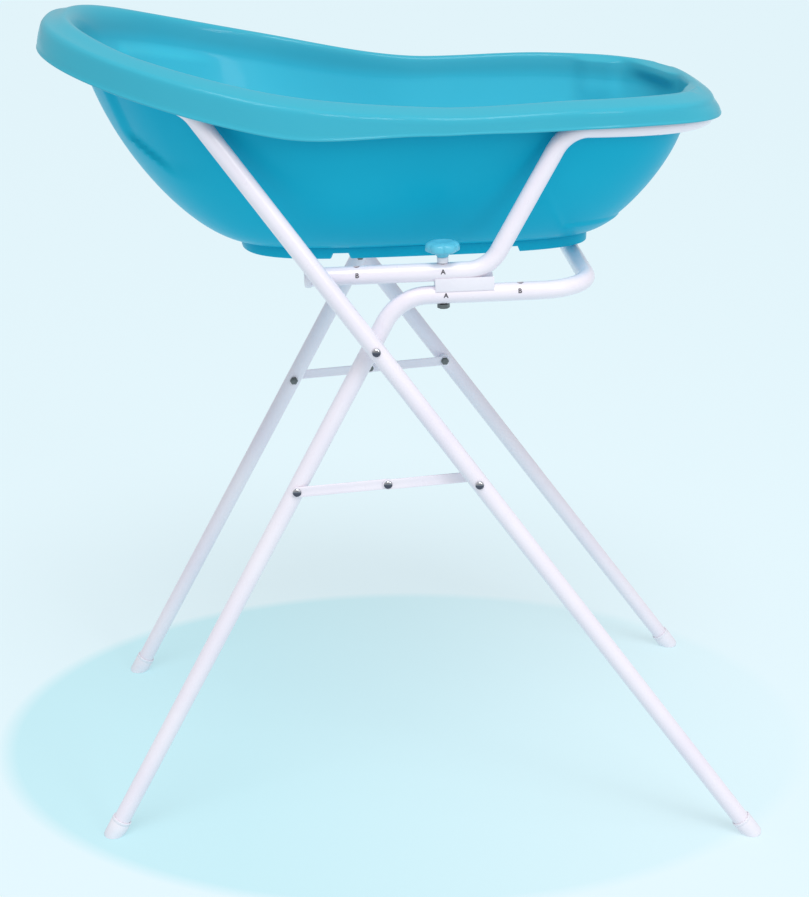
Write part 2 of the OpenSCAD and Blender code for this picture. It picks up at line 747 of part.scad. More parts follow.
// rings in order over the whole skin: outside from the bottom up, over the rim, and down the inside
bath_rings = concat(
    [base_ring(base_ring_t, floor_z), base_ring(base_ring_t, base_z), base_ring(0, base_z)],
    [for (t = reversed(bowl_steps)) bowl_ring(rim_point_out(rim_last), t, 0, base_top_z)],
    [for (i = [rim_last - 1 : -1 : 0]) rim_ring(rim_point_out(i))],
    [skirt_ring(bath_wall), skirt_ring(0)],
    [for (i = [0 : rim_last - 1]) rim_ring(rim_point_in(i))],
    [for (t = bowl_steps) bowl_ring(rim_point_in(rim_last), t, base_ring_t, floor_z + bath_wall)]
);

module bath_skin() {
    count = len(bath_rings);
    points = concat(
        [for (ring = bath_rings) for (p = ring) p],
        [[base_mid, 0, floor_z], [base_mid, 0, floor_z + bath_wall]]
    );
    bottom = count * ring_n;
    faces = concat(
        [for (j = [0 : count - 2]) for (k = [0 : ring_n - 1])
            let (a = j * ring_n + k, b = j * ring_n + (k + 1) % ring_n)
            each [[a, a + ring_n, b], [b, a + ring_n, b + ring_n]]],
        [for (k = [0 : ring_n - 1]) [bottom, k, (k + 1) % ring_n]],
        [for (k = [0 : ring_n - 1])
            [bottom + 1, (count - 1) * ring_n + (k + 1) % ring_n, (count - 1) * ring_n + k]]
    );
    polyhedron(points = points, faces = faces);
}

notch_h = 6;              // height of the drain notches
notch_places = [-18, 176];
module bath() {
    color(turquoise) in_place() difference() {
        bath_skin();
        for (x = notch_places) {
            translate([x - notch_w / 2, -base_head_half - 10, base_z - 1])
                cube([notch_w, 2 * base_head_half + 20, notch_h + 1]);
        }
    }
}

module saddle_front() { saddle(-1); }
module saddle_back() { saddle(1); }
module knob_front() { knob(-1); }
module knob_back() { knob(1); }
module clamp_bolt_front() { clamp_bolt(-1); }
module clamp_bolt_back() { clamp_bolt(1); }
module collar_front() { collar(-1); }
module collar_back() { collar(1); }

head_frame();
foot_frame();
foot_rest();
saddle_front();
saddle_back();
knob_front();
knob_back();
clamp_bolt_front();
clamp_bolt_back();
collar_front();
collar_back();
clamp_nuts();
pivot_bolts();
pivot_nuts();
pivot_spacers();
head_link_front();
head_link_back();
foot_link_front();
foot_link_back();
head_link_bolts();
head_link_nuts();
foot_link_bolts();
foot_link_nuts();
foot_link_spacers();
middle_bolts();
middle_nuts();
head_frame_feet();
foot_frame_feet();
foot_rest_plugs();
bath();
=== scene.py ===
import json
import math

import bmesh
import bpy
import numpy as np
from mathutils import Matrix, Vector


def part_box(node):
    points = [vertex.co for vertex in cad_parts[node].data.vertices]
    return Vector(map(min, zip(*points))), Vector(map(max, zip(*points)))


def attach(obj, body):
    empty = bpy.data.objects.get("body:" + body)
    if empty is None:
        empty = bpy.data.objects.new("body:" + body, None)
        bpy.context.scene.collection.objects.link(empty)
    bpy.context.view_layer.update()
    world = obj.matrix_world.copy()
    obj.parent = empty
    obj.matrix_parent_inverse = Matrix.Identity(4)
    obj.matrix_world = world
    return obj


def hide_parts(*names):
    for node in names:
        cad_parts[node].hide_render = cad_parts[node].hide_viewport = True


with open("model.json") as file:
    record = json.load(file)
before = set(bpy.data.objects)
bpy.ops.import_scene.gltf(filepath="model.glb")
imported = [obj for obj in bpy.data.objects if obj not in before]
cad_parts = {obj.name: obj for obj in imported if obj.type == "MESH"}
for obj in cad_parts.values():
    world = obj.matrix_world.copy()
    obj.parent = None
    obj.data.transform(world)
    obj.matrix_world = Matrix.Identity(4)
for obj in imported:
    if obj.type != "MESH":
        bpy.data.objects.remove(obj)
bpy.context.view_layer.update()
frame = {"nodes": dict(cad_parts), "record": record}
mm = 0.001
shiftX = -51.0933  # the crossing pivots lie at x = 0 in the numbers below, and here in the part's frame
print("frame loaded")


# camera, fitted to the photograph
cameraFit = dict(
    place=(-103.6, -2332.92, 1305.24), yaw=3.78, pitch=20.32, roll=0.29,
    focal=1853.19, longSide=897, sensor=36,  # the sensor spans the picture's long side
)


def setCamera(fit):
    yaw, pitch, roll = (math.radians(fit[k]) for k in ("yaw", "pitch", "roll"))
    right = Vector((math.cos(yaw), -math.sin(yaw), 0))
    ahead = Vector((math.sin(yaw) * math.cos(pitch), math.cos(yaw) * math.cos(pitch), -math.sin(pitch)))
    up = right.cross(ahead)
    rolledRight = math.cos(roll) * right + math.sin(roll) * up
    rolledUp = -math.sin(roll) * right + math.cos(roll) * up
    cameraData = bpy.data.cameras.new("photoCamera")
    camera = bpy.data.objects.new("photoCamera", cameraData)
    bpy.context.scene.collection.objects.link(camera)
    turn = Matrix((rolledRight, rolledUp, -ahead)).transposed().to_4x4()
    x, y, z = fit["place"]
    camera.matrix_world = Matrix.Translation(Vector((x + shiftX, y, z)) * mm) @ turn
    cameraData.sensor_width = fit["sensor"]
    cameraData.lens = fit["focal"] / fit["longSide"] * fit["sensor"]
    cameraData.clip_end = 60
    bpy.context.scene.camera = camera


setCamera(cameraFit)
bpy.context.scene.view_settings.view_transform = "Standard"  # the photograph's flat, clear colours
print("camera set")


# shader helpers
def paint(red, green, blue):
    shares = (c / 255 for c in (red, green, blue))
    return tuple(c / 12.92 if c <= 0.04045 else ((c + 0.055) / 1.055) ** 2.4 for c in shares) + (1.0,)


class Wire:
    def __init__(self, recipe, socket):
        self.recipe, self.socket = recipe, socket

    def maths(self, operation, first, second):
        return self.recipe.add("ShaderNodeMath", dict(operation=operation), {0: first, 1: second})

    def __add__(self, other):
        return self.maths("ADD", self, other)

    def __sub__(self, other):
        return self.maths("SUBTRACT", self, other)

    def __mul__(self, other):
        return self.maths("MULTIPLY", self, other)

    def __rsub__(self, other):
        return self.maths("SUBTRACT", other, self)

    __radd__, __rmul__ = __add__, __mul__


class Recipe:
    def __init__(self, name):
        self.material = bpy.data.materials.new(name)
        self.material.use_nodes = True
        self.tree = self.material.node_tree
        self.shader = self.tree.nodes["Principled BSDF"]

    def add(self, kind, settings=None, sockets=None, out=0):
        node = self.tree.nodes.new(kind)
        for key, value in (settings or {}).items():
            if key == "stops":
                ramp = node.color_ramp
                while len(ramp.elements) < len(value):
                    ramp.elements.new(0.5)
                for element, (place, colour) in zip(ramp.elements, value):
                    element.position, element.color = place, colour
            else:
                setattr(node, key, value)
        for key, value in (sockets or {}).items():
            if isinstance(value, Wire):
                self.tree.links.new(value.socket, node.inputs[key])
            else:
                node.inputs[key].default_value = value
        return Wire(self, node.outputs[out])

    def noise(self, scale, detail=3.0, roughness=0.5, at=None):
        sockets = {"Vector": at or self.place(), "Scale": scale, "Detail": detail, "Roughness": roughness}
        return self.add("ShaderNodeTexNoise", None, sockets)

    def place(self):
        return self.add("ShaderNodeTexCoord", out=3)

    def mixed(self, share, first, second):
        return self.add("ShaderNodeMix", dict(data_type="RGBA"), {0: share, 6: first, 7: second}, out=2)

    def ramp(self, value, stops):
        return self.add("ShaderNodeValToRGB", dict(stops=stops), {0: value})

    def bump(self, height, strength, depth):
        return self.add("ShaderNodeBump", None, {"Height": height, "Strength": strength, "Distance": depth})

    def finish(self, **inputs):
        for key, value in inputs.items():
            socket = self.shader.inputs[key.replace("_", " ")]
            if isinstance(value, Wire):
                self.tree.links.new(value.socket, socket)
            else:
                socket.default_value = value
        return self.material


def grey(value):
    return (value, value, value, 1)


# materials
coatLook = dict(
    light=paint(246, 240, 246), dark=paint(233, 224, 238), speck=paint(205, 203, 214),
    rough=0.3, peelSize=620, peelDepth=0.00006,
)


def powderCoat(look):
    r = Recipe("powderCoat")
    cloud = r.noise(9, 4, 0.6)
    specks = r.ramp(r.noise(1500, 1), [(0.30, grey(1)), (0.34, grey(0))])
    colour = r.mixed(cloud, look["dark"], look["light"])
    colour = r.mixed(specks * 0.10, colour, look["speck"])
    peel = r.noise(look["peelSize"], 2, 0.4)
    rough = look["rough"] + (r.noise(60, 4) - 0.5) * 0.16
    return r.finish(
        Base_Color=colour, Roughness=rough, Normal=r.bump(peel, 0.35, look["peelDepth"]),
        Coat_Weight=0.25, Coat_Roughness=0.12,
    )


capLook = dict(
    light=paint(242, 239, 246), dark=paint(230, 226, 237), rough=0.42, grainSize=1800, grainDepth=0.00004,
)


def capPlastic(look):
    r = Recipe("capPlastic")
    colour = r.mixed(r.noise(45, 4, 0.6), look["dark"], look["light"])
    grain = r.noise(look["grainSize"], 2, 0.5)
    rough = look["rough"] + (r.noise(130, 3) - 0.5) * 0.2
    return r.finish(Base_Color=colour, Roughness=rough, Normal=r.bump(grain, 0.4, look["grainDepth"]))


tubLook = dict(
    light=paint(24, 179, 210), dark=paint(16, 169, 204),  # the outside of the bowl
    rimLight=paint(70, 177, 199), rimDark=paint(56, 171, 195),  # the rim, paler: painted light where it faces up
    insideLight=paint(70, 190, 214), insideDark=paint(56, 184, 210),  # the inside, paler: painted light
    rough=0.3, gloss=0.08, coat=0.2,
)


def tubPlastic(look, name="tubPlastic"):
    r = Recipe(name)
    cloud = r.noise(5, 3, 0.5)
    swirl = r.noise(28, 5, 0.65)
    colour = r.mixed(cloud, look["dark"], look["light"])
    colour = r.mixed(swirl * 0.16, colour, look["light"])
    coat = look["coat"]
    if "rimLight" in look:
        # the paler rim and inside tones are painted light, set by the lit attribute
        lit = r.add("ShaderNodeAttribute", dict(attribute_name="lit"), out=2)
        paintedLightTone = r.mixed(cloud, look["insideDark"], look["insideLight"])
        paintedLightTone = r.mixed(lit * 2 - 1, paintedLightTone, r.mixed(cloud, look["rimDark"], look["rimLight"]))
        colour = r.mixed(lit * 2, colour, paintedLightTone)
        coat = lit * coat  # the bowl's outside is duller
    flow = r.noise(16, 2, 0.4)  # slow waves of a large moulding
    fine = r.noise(900, 2, 0.5)
    height = flow * 0.9 + fine * 0.1
    scuffs = r.ramp(r.noise(140, 6, 0.7), [(0.52, grey(0)), (0.75, grey(1))])
    rough = look["rough"] + swirl * 0.05 + scuffs * 0.08
    return r.finish(
        Base_Color=colour, Roughness=rough, Normal=r.bump(height, 0.25, 0.0004),
        Specular_IOR_Level=look["gloss"], Coat_Weight=coat, Coat_Roughness=0.1,
    )


knobLook = dict(light=paint(104, 198, 222), dark=paint(80, 184, 214), rough=0.28, gloss=0.4, coat=0.15)
# the chrome's dark underside colour is painted shade
metalLook = dict(
    chrome=(0.8, 0.8, 0.83, 1), chromeDark=(0.55, 0.56, 0.6, 1), chromePaintedShade=(0.09, 0.09, 0.12, 1),
    zinc=(0.09, 0.10, 0.105, 1), zincLight=(0.24, 0.25, 0.25, 1), chromeRough=0.12, zincRough=0.32,
)


def platedMetal(name, dark, light, rough, under=None):
    r = Recipe(name)
    lines = r.add("ShaderNodeMapping", None, {"Vector": r.place(), "Scale": (1, 1, 14)})
    scratch = r.noise(420, 3, 0.6, at=lines)
    colour = r.mixed(r.noise(260, 4, 0.6), dark, light)
    if under:  # the underside is painted dark: painted shade and a painted dark reflection
        facing = r.add("ShaderNodeAttribute", dict(attribute_name="facing"), out=2)
        colour = r.mixed(r.ramp(facing * 0.5 + 0.5, [(0.5, grey(0)), (0.72, grey(1))]), under, colour)
    return r.finish(
        Base_Color=colour, Metallic=1.0, Roughness=rough + scratch * 0.14,
        Normal=r.bump(scratch, 0.2, 0.00003),
    )


inkLook = dict(light=paint(84, 80, 86), dark=paint(62, 59, 66), rough=0.5)


def markInk(look):
    r = Recipe("markInk")
    colour = r.mixed(r.noise(900, 3), look["light"], look["dark"])
    return r.finish(Base_Color=colour, Roughness=look["rough"] + r.noise(1500) * 0.15)


finish = dict(
    white_frame=powderCoat(coatLook),
    white_plastic=capPlastic(capLook),
    turquoise_plastic=tubPlastic(tubLook),
    knob_turquoise=tubPlastic(knobLook, "knobPlastic"),
    chrome=platedMetal(
        "brightPlate", metalLook["chromeDark"], metalLook["chrome"], metalLook["chromeRough"],
        metalLook["chromePaintedShade"],
    ),
    dark_zinc=platedMetal("darkZinc", metalLook["zinc"], metalLook["zincLight"], metalLook["zincRough"]),
)
slotOf = {s["node"]: s["material_slot"] for s in frame["record"]["subparts"]}
for nodeName, node in frame["nodes"].items():
    node.data.materials.clear()
    node.data.materials.append(finish[slotOf[nodeName]])
print("materials made")


# mesh helpers
def makePiece(name, points, faces, slot):
    mesh = bpy.data.meshes.new(name)
    mesh.from_pydata([tuple(p) for p in points], [], [tuple(f) for f in faces])
    mesh.validate()
    piece = bpy.data.objects.new(name, mesh)
    bpy.context.scene.collection.objects.link(piece)
    mesh.materials.append(finish[slot])
    return piece


def smooth(mesh, angle):
    mesh.shade_smooth()
    mesh.set_sharp_from_angle(angle=math.radians(angle))


def inFrame(point):
    return ((point[0] + shiftX) * mm, point[1] * mm, point[2] * mm)


def joinRings(rings):
    count = len(rings[0])
    points = [inFrame(p) for ring in rings for p in ring]
    faces = []
    for j in range(len(rings) - 1):
        for k in range(count):
            a, b = j * count + k, j * count + (k + 1) % count
            faces.append((a, b, b + count, a + count))
    return points, faces


def turnOutwards(mesh, smoothAngle):
    work = bmesh.new()
    work.from_mesh(mesh)
    bmesh.ops.remove_doubles(work, verts=work.verts, dist=1e-6)
    bmesh.ops.recalc_face_normals(work, faces=work.faces)
    work.to_mesh(mesh)
    work.free()
    smooth(mesh, smoothAngle)


def softened(source, name, width):
    # a copy of a CAD node with its edges rounded
    work = bmesh.new()
    work.from_mesh(frame["nodes"][source].data)
    bmesh.ops.remove_doubles(work, verts=work.verts, dist=2e-6)
    bmesh.ops.dissolve_limit(work, angle_limit=math.radians(1.5), verts=work.verts, edges=work.edges)
    mesh = bpy.data.meshes.new(name)
    work.to_mesh(mesh)
    work.free()
    piece = bpy.data.objects.new(name, mesh)
    bpy.context.scene.collection.objects.link(piece)
    bevel = piece.modifiers.new("roundedEdges", "BEVEL")
    bevel.width, bevel.segments, bevel.limit_method = width * mm, 3, "ANGLE"
    bevel.angle_limit = math.radians(50)
    baked = bpy.data.meshes.new_from_object(piece.evaluated_get(bpy.context.evaluated_depsgraph_get()))
    piece.modifiers.clear()
    piece.data = baked
    baked.materials.clear()
    baked.materials.append(finish[slotOf[source]])
    smooth(baked, 35)
    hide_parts(source)
    return piece


# the bath
tub = dict(
    headEnd=402, footEnd=439, headHalf=276, footHalf=228, headRound=2.5, footRound=3.15,
    waistFrom=-145, waistTo=73, lowZ=930, headRise=94, footRise=6, endDrop=6.5,
    skirtFoot=28, skirtHead=42.6, wall=2.2, baseZ=734, ringHeight=13.5, ringWall=5, recess=13,
    baseHead=160, baseFoot=282, baseHeadHalf=137, baseFootHalf=88, baseRound=3.6,
    around=520, bowlRows=60, shoulder=12.5, hemHeight=3.5, hemLip=0.8, underFrom=3.2,
    ringStep=2.6, floorInsets=(20, 50, 78), notchPlaces=(-37, 176), notchWidth=22, notchHeight=7,
    riseFrom=85, risePower=1.57, footRiseOver=170, dropFrom=310,  # the rim's line along the bath
    headShareFrom=68, headShareOver=180, endRound=2.7, endFrom=0.74,  # where the head end and both ends begin
    waistLift=2.8, waistMiddle=118, waistHalf=55,  # the rim is shallower beside the waist
    tipRise=3.0, tipInset=26, tipWidth=10,  # and raised a little at the head end
    fullHead=6, fullFoot=3.5, tuck=5, tuckFrom=215, tuckOver=60,  # the bowl's fullness, and its foot end
)
# inset from the outline, depth below the rim's line at the foot and at the head end, lean at the two ends
rimSection = [
    (0.8, 12.5, 12.5, 8, 6), (1.5, 8.6, 9.0, 9, 7.5), (3.8, 5.6, 6.0, 9, 8.5), (9, 3.2, 3.6, 7.5, 9.5),
    (17, 0.4, 0.6, 5, 9.5), (23, -1.4, -1.3, 3, 9.5), (27.5, -2, -2, 2, 9.5), (31.2, -0.5, -0.3, 3, 11),
    (33.4, 3.6, 4.2, 3.5, 13), (34.5, 10, 12, 4, 15), (35.2, 19, 23, 4.5, 16), (36.0, 30, 36, 5, 16.5),
]


def smoothstep(t):
    t = np.clip(t, 0, 1)
    return t * t * (3 - 2 * t)


def rimHeight(x):
    s = tub
    along = np.clip(s["riseFrom"] - x, 0, None) / (s["riseFrom"] + s["headEnd"])
    rise = s["headRise"] * along ** s["risePower"]
    footRise = s["footRise"] * smoothstep((x - s["riseFrom"]) / s["footRiseOver"])
    drop = s["endDrop"] * (np.clip(x - s["dropFrom"], 0, None) / (s["footEnd"] - s["dropFrom"])) ** 2
    return s["lowZ"] + rise + footRise - drop


def headShare(x):
    return smoothstep((tub["headShareFrom"] - x) / tub["headShareOver"])


def squarish(angle, power):
    c, s = np.cos(angle), np.sin(angle)
    reach = (np.abs(c) ** power + np.abs(s) ** power) ** (-1 / power)
    return c * reach, s * reach


def rimOutline(angle, inset):
    u, v = squarish(angle, np.where(np.cos(angle) < 0, tub["headRound"], tub["footRound"]))
    x = (tub["footEnd"] - tub["headEnd"]) / 2 + ((tub["footEnd"] + tub["headEnd"]) / 2 - inset) * u
    blend = smoothstep((x - tub["waistFrom"]) / (tub["waistTo"] - tub["waistFrom"]))
    half = tub["headHalf"] + (tub["footHalf"] - tub["headHalf"]) * blend
    return x, (half - inset) * v


def baseOutline(angle, inset):
    u, v = squarish(angle, tub["baseRound"])
    x = (tub["baseFoot"] - tub["baseHead"]) / 2 + ((tub["baseFoot"] + tub["baseHead"]) / 2 - inset) * u
    blend = (x + tub["baseHead"]) / (tub["baseFoot"] + tub["baseHead"])
    half = tub["baseHeadHalf"] + (tub["baseFootHalf"] - tub["baseHeadHalf"]) * blend
    return x, (half - inset) * v


def curveThrough(section, perSpan):
    # a smooth curve through the section's points
    p = np.array(section, float)
    p = np.vstack([2 * p[0] - p[1], p, 2 * p[-1] - p[-2]])
    rows = []
    for i in range(1, len(p) - 2):
        a, b, c, d = p[i - 1 : i + 3]
        for t in np.arange(perSpan) / perSpan:
            bend = (2 * a - 5 * b + 4 * c - d) * t**2 + (3 * b - a - 3 * c + d) * t**3
            rows.append(0.5 * (2 * b + (c - a) * t + bend))
    rows.append(p[-2])
    return np.array(rows)


def offsetSection(rows, thickness):
    slope = np.gradient(rows, axis=0)
    normal = np.stack([slope[:, 1] + slope[:, 2], -2 * slope[:, 0]], axis=1)  # of the average section
    normal /= np.linalg.norm(normal, axis=1, keepdims=True)
    moved = rows.copy()
    moved[:, 0] -= normal[:, 0] * thickness
    moved[:, 1:3] -= normal[:, 1:2] * thickness
    return moved


angles = 2 * np.pi * (np.arange(tub["around"]) + 0.5) / tub["around"]
# 0 along the sides, 1 at both ends
endShare = smoothstep((np.abs(squarish(angles, tub["endRound"])[0]) - tub["endFrom"]) / (1 - tub["endFrom"]))


def rimRow(section):
    s = tub
    inset, foot, head = section[:3]
    if len(section) > 3:
        inset = inset + np.where(np.cos(angles) > 0, section[3], section[4]) * endShare
    x, y = rimOutline(angles, inset)
    if foot > s["shoulder"]:
        waist = s["waistLift"] * np.exp(-(((x - s["waistMiddle"]) / s["waistHalf"]) ** 2))
        foot = foot - waist * (foot - s["shoulder"]) / (s["skirtFoot"] - s["shoulder"])
    z = rimHeight(x) - (foot + (head - foot) * headShare(x))
    tip = np.exp(-(((section[0] - s["tipInset"]) / s["tipWidth"]) ** 2))
    z = z + s["tipRise"] * endShare * (np.cos(angles) < 0) * tip
    return np.stack([x, y, z], axis=1)


def bowlRow(section, t, baseInset, bottomZ):
    # the wall at share t of its height, from the rim's last row (0) to the bottom (1)
    full = np.where(np.cos(angles) < 0, tub["fullHead"], tub["fullFoot"])
    fuller = full * math.sin(math.pi * t) * endShare
    top = rimRow((section[0] - fuller, *section[1:]))
    x, y = baseOutline(angles, baseInset)
    x = x - tub["tuck"] * smoothstep((x - tub["tuckFrom"]) / tub["tuckOver"])
    share = 0.4 * t + 0.6 * (1 - math.sqrt(1 - t * t))
    bottom = np.stack([x, y, np.full_like(x, bottomZ)], axis=1)
    return top + (bottom - top) * np.array([share, share, t])


def flatRow(inset, z):
    x, y = baseOutline(angles, inset)
    return np.stack([x, y, np.full_like(x, z)], axis=1)


mouldings = dict(
    # the wall is drawn in on both sides of the head end's back panel
    pocket=8.5, pocketStep=13.0, pocketZ=(840, 859, 888, 950, 1000), pocketX=(-231, -254, -296, -321, -330),
    pocketEnd=-266, pocketEndOver=80, pocketRise=26, pocketUnder=38, pocketUnderOver=12,
    # and round the foot end, over a ledge
    heel=3.2, heelX=235, heelSlope=0.5, heelSlopeZ=770, heelStep=9, heelZ=769, heelRise=5, heelTopZ=782, heelFade=90,
    middleFrom=-170, middleTo=200,  # the bath's middle line, which the shifts point away from
    # rounded arm rests on the inner walls
    restX=318, restHalf=25, restIn=8, restTop=-1, restTopOver=7, restDepth=80, restFade=45,
    restSideY=90, restSideOver=50, insideFrom=28.5,
    # wide corners with shallow dishes at the foot end
    cornerIn=9, cornerX=352, cornerOver=40, cornerY=22, cornerSideOver=50,
    cornerTop=-1.5, cornerTopOver=4, cornerDepth=9, cornerFade=16,
    dishX=392, dishY=92, dishDepth=0.9, dishLong=14, dishWide=30, dishFlat=0.35, dishFrom=8,
)


def wallShift(row):
    # how far the wall at these points is drawn in
    m = mouldings
    x, y, z = row.T
    outward = np.stack([(x - np.clip(x, m["middleFrom"], m["middleTo"])) * 0.5, y], axis=1)
    outward /= np.maximum(np.linalg.norm(outward, axis=1, keepdims=True), 1e-6)
    below = rimHeight(x) - z
    edge = np.interp(z, m["pocketZ"], m["pocketX"])
    pocket = smoothstep((x - edge) / m["pocketStep"])
    pocket = pocket * (1 - smoothstep((x - m["pocketEnd"]) / m["pocketEndOver"]))
    low = smoothstep((z - m["pocketZ"][0]) / m["pocketRise"])
    pocket *= low * smoothstep((below - m["pocketUnder"]) / m["pocketUnderOver"])
    heel = smoothstep((x - m["heelX"] + (z - m["heelSlopeZ"]) * m["heelSlope"]) / m["heelStep"])
    heel = heel * smoothstep((z - m["heelZ"]) / m["heelRise"])
    heel *= 1 - smoothstep((z - m["heelTopZ"]) / m["heelFade"])
    return -outward * (m["heel"] * heel + m["pocket"] * pocket)[:, None]


def shapeInside(row):
    # the arm rests and the foot end's corners
    m = mouldings
    x, y, z = row.T
    below = rimHeight(x) - z
    side = np.sign(y) * smoothstep((np.abs(y) - m["restSideY"]) / m["restSideOver"])
    rest = np.exp(-(((x - m["restX"]) / m["restHalf"]) ** 4))
    rest = rest * smoothstep((below - m["restTop"]) / m["restTopOver"])
    rest *= 1 - smoothstep((below - m["restDepth"]) / m["restFade"] + 1)
    row[:, 1] -= side * m["restIn"] * rest
    corner = smoothstep((x - m["cornerX"]) / m["cornerOver"])
    corner = corner * smoothstep((np.abs(y) - m["cornerY"]) / m["cornerSideOver"])
    corner *= smoothstep((below - m["cornerTop"]) / m["cornerTopOver"])
    corner *= 1 - smoothstep((below - m["cornerDepth"]) / m["cornerFade"])
    inwards = np.stack([m["middleTo"] - x, -y], axis=1)
    inwards /= np.linalg.norm(inwards, axis=1, keepdims=True)
    row[:, :2] += inwards * (m["cornerIn"] * corner)[:, None]
    return row


def faceRow(section):
    m = mouldings
    row = rimRow(section)
    if section[0] > m["insideFrom"]:
        return shapeInside(row)
    x, y = row[:, 0], np.abs(row[:, 1])
    dish = ((x - m["dishX"]) / m["dishLong"]) ** 2 + ((y - m["dishY"]) / m["dishWide"]) ** 2
    deep = 1 - smoothstep((dish - m["dishFlat"]) / (1 - m["dishFlat"]))
    row[:, 2] -= m["dishDepth"] * deep * (section[0] > m["dishFrom"])
    return row


def notch(row):
    # the two openings through the ring under the bath, on both sides
    top = tub["baseZ"] + tub["notchHeight"]
    low = (row[:, 2] < top) & (np.abs(row[:, 1]) > 40)
    for place in tub["notchPlaces"]:
        row[low & (np.abs(row[:, 0] - place) < tub["notchWidth"] / 2), 2] = top


def makeTub():
    s = tub
    floorZ, ringTop = s["baseZ"] + s["recess"], s["baseZ"] + s["ringHeight"]
    top = curveThrough(rimSection, 5)
    under = offsetSection(top, s["wall"])
    under = under[under[:, 0] > s["underFrom"]]
    even = np.linspace(0, 1, s["bowlRows"])
    steps = 0.55 * (1 - np.cos(even * np.pi / 2)) + 0.45 * even
    steps = np.sin(steps * np.pi / 2) ** 0.8
    ring = [flatRow(inset, floorZ) for inset in s["floorInsets"][::-1]]
    ring += [flatRow(inset, z) for inset, z in (
        (s["ringWall"] + 1, floorZ), (s["ringWall"], floorZ - 1),
        (s["ringWall"], s["baseZ"] + 1), (s["ringWall"] - 0.9, s["baseZ"]), (0.9, s["baseZ"]),
        (0.1, s["baseZ"] + 0.7), (0, s["baseZ"] + 3),
        (0, ringTop - 1.6), (0.25, ringTop - 0.4), (0.9, ringTop),
    )]
    outer, inner = [], []
    for t in steps:
        outside = bowlRow(under[-1], t, s["ringStep"], ringTop)
        inside = shapeInside(bowlRow(top[-1], t, s["ringWall"], floorZ + s["wall"]))
        shift = wallShift(outside)
        outside[:, :2] += shift
        inside[:, :2] += shift
        outer.insert(0, outside)
        inner.append(inside)
    rimUnder = [rimRow(section) for section in under[:-1][::-1]]
    skirtIn, skirtOut = [], []
    for share in np.linspace(0, 1, 7):
        foot = s["shoulder"] + (s["skirtFoot"] - s["hemHeight"] - s["shoulder"]) * share
        head = s["shoulder"] + (s["skirtHead"] - s["hemHeight"] - s["shoulder"]) * share
        lean = [rimSection[0][k] * (1 - share) ** 1.4 for k in (3, 4)]
        skirtIn.append(rimRow((s["wall"] + s["hemLip"], foot, head, *lean)))
        skirtOut.append(rimRow((s["hemLip"], foot, head, *lean)))
    hem = [rimRow((inset, s["skirtFoot"] - up, s["skirtHead"] - up)) for inset, up in (
        (3.0, 0.8), (2.6, 0.2), (1.8, 0.0), (0.9, 0.1), (0.3, 0.5), (0.05, 1.2), (0.1, 2.0), (0.45, 2.8))]
    face = [faceRow(section) for section in top[1:]]
    floor = [flatRow(inset, floorZ + s["wall"]) for inset in s["floorInsets"]]
    rings = ring + outer + rimUnder + skirtIn + hem + skirtOut[::-1] + face + inner[1:] + floor
    for row in rings:
        notch(row)
    points, faces = joinRings([r.tolist() for r in rings])
    count = s["around"]
    middle = (s["baseFoot"] - s["baseHead"]) / 2
    points += [inFrame((middle, 0, floorZ)), inFrame((middle, 0, floorZ + s["wall"]))]
    last = (len(rings) - 1) * count
    for k in range(count):
        faces.append((len(points) - 2, (k + 1) % count, k))
        faces.append((len(points) - 1, last + k, last + (k + 1) % count))
    piece = makePiece("bathShell", points, faces, "turquoise_plastic")
    lit = piece.data.attributes.new("lit", "FLOAT", "POINT")  # 0 outside, 1 on the rim, 0.5 inside: where the paler painted-light tones go
    shaded = count * (len(ring) + len(outer) + len(rimUnder) + len(skirtIn))
    wall = shaded + count * (len(hem) + len(skirtOut) + len(face))
    for k in range(shaded, len(points)):
        lit.data[k].value = 1 - 0.5 * float(smoothstep((k - wall) / (8 * count) + 1))
    turnOutwards(piece.data, 32)
    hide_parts("bath")
    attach(piece, "bath")


makeTub()
print("bath made")


# feet, plugs, knobs
def evenTurns(count):
    return [2 * math.pi * k / count for k in range(count)]


def lathe(profile, at, along):
    along = Vector(along).normalized()
    side = along.orthogonal().normalized()
    other = along.cross(side)
    rings = []
    for reach, radius in profile:
        middle = Vector(at) + along * reach
        rings.append([
            tuple(middle + (side * math.cos(a) + other * math.sin(a)) * radius) for a in evenTurns(48)
        ])
    return rings


def closedLathe(rings):
    points, faces = joinRings(rings)
    count = len(rings[0])
    faces.append(tuple(range(count))[::-1])
    faces.append(tuple(range(len(points) - count, len(points))))
    return points, faces


def mergeShapes(shapes):
    points, faces = [], []
    for morePoints, moreFaces in shapes:
        faces += [tuple(i + len(points) for i in f) for f in moreFaces]
        points += morePoints
    return points, faces


legs = dict(
    pivotZ=655, headAngle=36.7, headSplay=2.1, headHalf=245, footAngle=27.4, footSplay=1.6, footHalf=212,
    capRadius=12.8, capLength=28, capPlay=0.12, capDepth=12, tubeEndZ=9, tubeRadius=11,
)


def legDirection(angle, splay, forward, side):
    a, s = math.radians(angle), math.radians(splay)
    return Vector((forward * math.sin(a) * math.cos(s), side * math.sin(s), -math.cos(a) * math.cos(s)))


